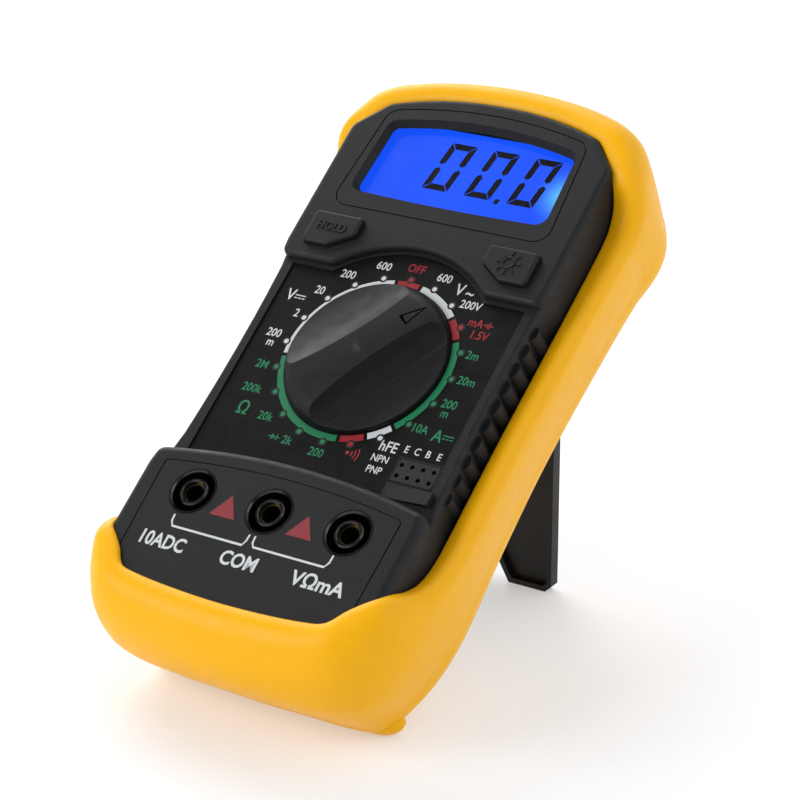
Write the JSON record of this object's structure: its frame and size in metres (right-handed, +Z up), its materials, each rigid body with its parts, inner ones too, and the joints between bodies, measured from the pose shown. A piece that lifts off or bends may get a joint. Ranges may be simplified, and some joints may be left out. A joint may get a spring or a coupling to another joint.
{
  "type": "digital multimeter",
  "caption": "Handheld digital multimeter in a yellow rubber holster, leaning back on its open tilt stand, with a rotary selector, push keys, input jacks and a lit display.",
  "frame": {"origin": "on the floor, under the centre of the meter's bounding box as it stands on its stand", "axes": "+X to the reader's right, +Y away from the reader along the floor, +Z up; the face leans back and looks towards -Y and +Z"},
  "size_m": [0.077, 0.1292, 0.1092],
  "materials": {
    "case_plastic": "fine moulded grain, charcoal",
    "plate_print": "printed plate, near black with white, green and red prints",
    "window_plastic": "clear moulded lens",
    "lcd_lit": "blue backlit liquid crystal panel",
    "key_plastic": "fine moulded grain",
    "knob_plastic": "fine moulded grain, satin",
    "white_plastic": "moulded",
    "clear_plastic": "moulded light guide",
    "black_plastic": "moulded",
    "jack_plastic": "moulded",
    "socket_plastic": "moulded",
    "brass": "turned",
    "nickel": "nickel plated",
    "zinc_steel": "zinc plated",
    "board": "glass-fibre board with solder mask",
    "elastomer": "zebra connector",
    "fuse_glass": "drawn tube",
    "copper_alloy": "manganin wire",
    "resin": "epoxy resin",
    "trimmer_plastic": "moulded",
    "film_capacitor": "dipped",
    "resistor_body": "lacquered film resistor",
    "battery_jacket": "lacquered steel jacket",
    "snap_vinyl": "vinyl",
    "wire_red": "vinyl insulation",
    "wire_black": "vinyl insulation",
    "holster_rubber": "satin moulded thermoplastic rubber, golden yellow",
    "stand_plastic": "moulded, near black"
  },
  "bodies": {
    "meter": {"front_case": "case_plastic", "rear_case": "case_plastic", "battery_door": "case_plastic", "case_screws": "zinc_steel", "battery_door_screw": "zinc_steel", "dial_plate": "plate_print", "display_window": "window_plastic", "key_switches": "black_plastic", "lcd_glass": "lcd_lit", "light_guide": "clear_plastic", "backlight_lamp": "white_plastic", "lcd_frame": "black_plastic", "connector_strip": "elastomer", "circuit_board": "board", "board_screws": "zinc_steel", "jack_shrouds": "jack_plastic", "jack_sleeves": "brass", "transistor_socket": "socket_plastic", "fuse_tube": "fuse_glass", "fuse_caps": "nickel", "fuse_clips": "nickel", "current_shunt": "copper_alloy", "buzzer": "black_plastic", "processor": "resin", "trimmer": "trimmer_plastic", "capacitors": "film_capacitor", "resistors": "resistor_body", "battery": "battery_jacket", "battery_terminals": "nickel", "battery_snap": "snap_vinyl", "battery_lead_red": "wire_red", "battery_lead_black": "wire_black", "holster": "holster_rubber"},
    "selector": {"selector_knob": "knob_plastic", "switch_rotor": "white_plastic", "contact_springs": "copper_alloy", "detent_balls": "zinc_steel", "detent_springs": "zinc_steel"},
    "hold_key": {"hold_button": "key_plastic", "hold_plunger": "black_plastic"},
    "backlight_key": {"backlight_button": "key_plastic", "backlight_plunger": "black_plastic"},
    "stand": {"kickstand": "stand_plastic"}
  },
  "joints": [
    {"name": "selector_turn", "type": "hinge", "parent": "meter", "child": "selector", "pos_m": [0, -0.00693, 0.0633], "axis": [0, -0.6225, 0.7826], "continuous": true},
    {"name": "hold_press", "type": "slide", "parent": "meter", "child": "hold_key", "axis": [0, 0.6225, -0.7826], "range_m": [0, 0.0003], "stiffness_N_per_m": 800},
    {"name": "backlight_press", "type": "slide", "parent": "meter", "child": "backlight_key", "axis": [0, 0.6225, -0.7826], "range_m": [0, 0.0003], "stiffness_N_per_m": 800},
    {"name": "stand_fold", "type": "hinge", "parent": "meter", "child": "stand", "pos_m": [0, 0.03671, 0.06224], "axis": [-1, 0, 0], "range_deg": [0, 51.5]}
  ]
}
